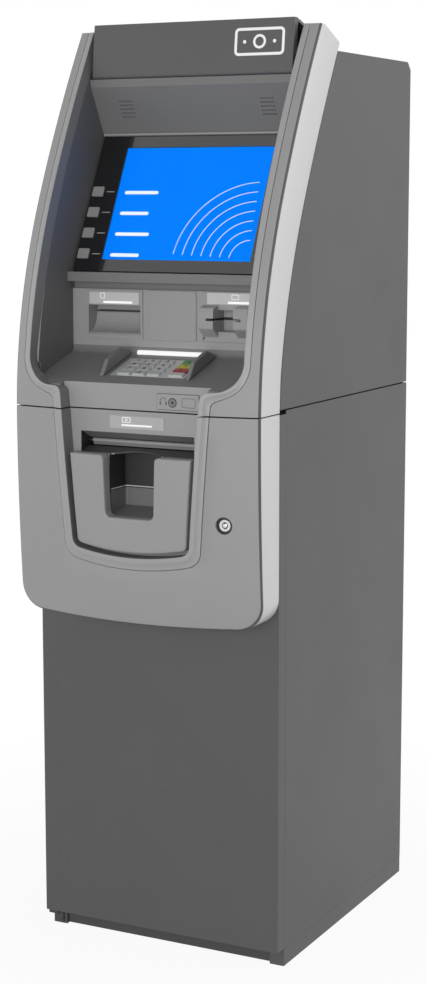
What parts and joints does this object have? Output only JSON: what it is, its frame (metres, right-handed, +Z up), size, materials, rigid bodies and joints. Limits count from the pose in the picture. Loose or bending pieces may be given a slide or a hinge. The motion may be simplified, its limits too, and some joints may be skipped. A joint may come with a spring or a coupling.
{
  "type": "atm machine",
  "caption": "Free-standing cash machine: safe cabinet with swinging door, lift-up head with screen, keypad, card and receipt slots, and a cash pocket with shutter.",
  "frame": {"origin": "on the floor, at the middle of the machine's width and depth", "axes": "+Z up, +X to the right of a person using it, +Y from that person towards the machine's back"},
  "size_m": [0.4, 0.5662, 1.386],
  "materials": {
    "paint": "fine powder coat, satin",
    "paint_dark": "powder coat, satin",
    "fascia": "fine textured moulding",
    "trim": "smooth satin moulding",
    "strip": "smooth silver moulding",
    "inner": "satin moulding",
    "glass": "clear front glass with a dark border",
    "display": "lit panel",
    "key": "satin steel",
    "key_green": "coloured key",
    "key_yellow": "coloured key",
    "key_red": "coloured key",
    "steel": "bare sheet steel",
    "pin_steel": "bright pin",
    "black": "black moulding",
    "rubber": "rubber tyres on a steel shaft",
    "paper": "plain paper",
    "lit": "lit translucent strip"
  },
  "bodies": {
    "cabinet": {"base_frame": "paint_dark", "safe_sides": "paint", "safe_floor": "paint", "safe_roof": "paint", "safe_back": "paint", "safe_frame": "paint", "housing_shell": "paint", "rear_cover": "paint", "power_inlet": "black", "computer_unit": "steel", "dispenser_frame": "steel", "cash_cassette": "inner", "door_hinge_pins": "pin_steel", "head_hinge_brackets": "pin_steel"},
    "feed_shaft": {"feed_roller": "rubber"},
    "pinch_shaft": {"pinch_roller": "rubber"},
    "head": {"upper_fascia": "fascia", "head_strips": "strip", "upper_trim": "trim", "recess_panel": "inner", "topper_sign": "paint", "topper_box": "inner", "screen_glass": "glass", "display_module": "display", "receipt_bezel": "fascia", "receipt_printer": "steel", "card_bezel": "fascia", "card_reader": "steel", "blank_plate": "fascia", "keypad_plate": "key", "keypad_shields": "inner", "lit_guides": "lit", "jack_plate": "fascia"},
    "receipt_roll": {"paper_roll": "paper"},
    "door": {"door_plate": "paint", "door_slab": "paint", "lower_fascia": "fascia", "door_strip": "strip", "lower_trim": "trim", "cash_panel": "fascia", "cash_chute": "inner"},
    "shutter": {"cash_shutter": "inner"},
    "lock": {"lock_plug": "pin_steel"},
    "b_menu_key_l1": {"menu_key_l1": "inner"},
    "b_menu_key_l2": {"menu_key_l2": "inner"},
    "b_menu_key_l3": {"menu_key_l3": "inner"},
    "b_menu_key_l4": {"menu_key_l4": "inner"},
    "b_menu_key_r1": {"menu_key_r1": "inner"},
    "b_menu_key_r2": {"menu_key_r2": "inner"},
    "b_menu_key_r3": {"menu_key_r3": "inner"},
    "b_menu_key_r4": {"menu_key_r4": "inner"},
    "b_key_1": {"key_1": "key"},
    "b_key_2": {"key_2": "key"},
    "b_key_3": {"key_3": "key"},
    "b_key_green": {"key_green": "key_green"},
    "b_key_4": {"key_4": "key"},
    "b_key_5": {"key_5": "key"},
    "b_key_6": {"key_6": "key"},
    "b_key_yellow": {"key_yellow": "key_yellow"},
    "b_key_7": {"key_7": "key"},
    "b_key_8": {"key_8": "key"},
    "b_key_9": {"key_9": "key"},
    "b_key_red": {"key_red": "key_red"},
    "b_key_left": {"key_left": "key"},
    "b_key_0": {"key_0": "key"},
    "b_key_right": {"key_right": "key"},
    "b_key_spare": {"key_spare": "key"}
  },
  "joints": [
    {"name": "head_hinge", "type": "hinge", "parent": "cabinet", "child": "head", "pos_m": [0, 0.00309, 1.348], "axis": [-1, 0, 0], "range_deg": [0, 60]},
    {"name": "door_hinge", "type": "hinge", "parent": "cabinet", "child": "door", "pos_m": [-0.1895, -0.18791, 0.4], "axis": [0, 0, -1], "range_deg": [0, 90]},
    {"name": "shutter_hinge", "type": "hinge", "parent": "door", "child": "shutter", "pos_m": [0, -0.23091, 0.779], "axis": [-1, 0, 0], "range_deg": [0, 60]},
    {"name": "lock_turn", "type": "hinge", "parent": "door", "child": "lock", "pos_m": [0.1475, -0.21691, 0.6745], "axis": [0, 1, 0], "range_deg": [0, 90]},
    {"name": "feed_turn", "type": "hinge", "parent": "cabinet", "child": "feed_shaft", "pos_m": [0, -0.10691, 0.764], "axis": [1, 0, 0], "continuous": true},
    {"name": "pinch_turn", "type": "hinge", "parent": "cabinet", "child": "pinch_shaft", "pos_m": [0, -0.10691, 0.7884], "axis": [1, 0, 0], "continuous": true},
    {"name": "paper_turn", "type": "hinge", "parent": "head", "child": "receipt_roll", "pos_m": [-0.1, -0.06491, 0.952], "axis": [1, 0, 0], "continuous": true},
    {"name": "menu_key_l1_press", "type": "slide", "parent": "head", "child": "b_menu_key_l1", "axis": [0, 0.8965, -0.4431], "range_m": [0, 0.0015], "stiffness_N_per_m": 900, "springref_m": -0.0005},
    {"name": "menu_key_l2_press", "type": "slide", "parent": "head", "child": "b_menu_key_l2", "axis": [0, 0.8965, -0.4431], "range_m": [0, 0.0015], "stiffness_N_per_m": 900, "springref_m": -0.0005},
    {"name": "menu_key_l3_press", "type": "slide", "parent": "head", "child": "b_menu_key_l3", "axis": [0, 0.8965, -0.4431], "range_m": [0, 0.0015], "stiffness_N_per_m": 900, "springref_m": -0.0005},
    {"name": "menu_key_l4_press", "type": "slide", "parent": "head", "child": "b_menu_key_l4", "axis": [0, 0.8965, -0.4431], "range_m": [0, 0.0015], "stiffness_N_per_m": 900, "springref_m": -0.0005},
    {"name": "menu_key_r1_press", "type": "slide", "parent": "head", "child": "b_menu_key_r1", "axis": [0, 0.8965, -0.4431], "range_m": [0, 0.0015], "stiffness_N_per_m": 900, "springref_m": -0.0005},
    {"name": "menu_key_r2_press", "type": "slide", "parent": "head", "child": "b_menu_key_r2", "axis": [0, 0.8965, -0.4431], "range_m": [0, 0.0015], "stiffness_N_per_m": 900, "springref_m": -0.0005},
    {"name": "menu_key_r3_press", "type": "slide", "parent": "head", "child": "b_menu_key_r3", "axis": [0, 0.8965, -0.4431], "range_m": [0, 0.0015], "stiffness_N_per_m": 900, "springref_m": -0.0005},
    {"name": "menu_key_r4_press", "type": "slide", "parent": "head", "child": "b_menu_key_r4", "axis": [0, 0.8965, -0.4431], "range_m": [0, 0.0015], "stiffness_N_per_m": 900, "springref_m": -0.0005},
    {"name": "key_1_press", "type": "slide", "parent": "head", "child": "b_key_1", "axis": [0, 0.3032, -0.9529], "range_m": [0, 0.002], "stiffness_N_per_m": 700, "springref_m": -0.0008},
    {"name": "key_2_press", "type": "slide", "parent": "head", "child": "b_key_2", "axis": [0, 0.3032, -0.9529], "range_m": [0, 0.002], "stiffness_N_per_m": 700, "springref_m": -0.0008},
    {"name": "key_3_press", "type": "slide", "parent": "head", "child": "b_key_3", "axis": [0, 0.3032, -0.9529], "range_m": [0, 0.002], "stiffness_N_per_m": 700, "springref_m": -0.0008},
    {"name": "key_green_press", "type": "slide", "parent": "head", "child": "b_key_green", "axis": [0, 0.3032, -0.9529], "range_m": [0, 0.002], "stiffness_N_per_m": 700, "springref_m": -0.0008},
    {"name": "key_4_press", "type": "slide", "parent": "head", "child": "b_key_4", "axis": [0, 0.3032, -0.9529], "range_m": [0, 0.002], "stiffness_N_per_m": 700, "springref_m": -0.0008},
    {"name": "key_5_press", "type": "slide", "parent": "head", "child": "b_key_5", "axis": [0, 0.3032, -0.9529], "range_m": [0, 0.002], "stiffness_N_per_m": 700, "springref_m": -0.0008},
    {"name": "key_6_press", "type": "slide", "parent": "head", "child": "b_key_6", "axis": [0, 0.3032, -0.9529], "range_m": [0, 0.002], "stiffness_N_per_m": 700, "springref_m": -0.0008},
    {"name": "key_yellow_press", "type": "slide", "parent": "head", "child": "b_key_yellow", "axis": [0, 0.3032, -0.9529], "range_m": [0, 0.002], "stiffness_N_per_m": 700, "springref_m": -0.0008},
    {"name": "key_7_press", "type": "slide", "parent": "head", "child": "b_key_7", "axis": [0, 0.3032, -0.9529], "range_m": [0, 0.002], "stiffness_N_per_m": 700, "springref_m": -0.0008},
    {"name": "key_8_press", "type": "slide", "parent": "head", "child": "b_key_8", "axis": [0, 0.3032, -0.9529], "range_m": [0, 0.002], "stiffness_N_per_m": 700, "springref_m": -0.0008},
    {"name": "key_9_press", "type": "slide", "parent": "head", "child": "b_key_9", "axis": [0, 0.3032, -0.9529], "range_m": [0, 0.002], "stiffness_N_per_m": 700, "springref_m": -0.0008},
    {"name": "key_red_press", "type": "slide", "parent": "head", "child": "b_key_red", "axis": [0, 0.3032, -0.9529], "range_m": [0, 0.002], "stiffness_N_per_m": 700, "springref_m": -0.0008},
    {"name": "key_left_press", "type": "slide", "parent": "head", "child": "b_key_left", "axis": [0, 0.3032, -0.9529], "range_m": [0, 0.002], "stiffness_N_per_m": 700, "springref_m": -0.0008},
    {"name": "key_0_press", "type": "slide", "parent": "head", "child": "b_key_0", "axis": [0, 0.3032, -0.9529], "range_m": [0, 0.002], "stiffness_N_per_m": 700, "springref_m": -0.0008},
    {"name": "key_right_press", "type": "slide", "parent": "head", "child": "b_key_right", "axis": [0, 0.3032, -0.9529], "range_m": [0, 0.002], "stiffness_N_per_m": 700, "springref_m": -0.0008},
    {"name": "key_spare_press", "type": "slide", "parent": "head", "child": "b_key_spare", "axis": [0, 0.3032, -0.9529], "range_m": [0, 0.002], "stiffness_N_per_m": 700, "springref_m": -0.0008}
  ],
  "couplings": [
    {"joint": "pinch_turn", "follows": "feed_turn", "ratio": -1}
  ]
}
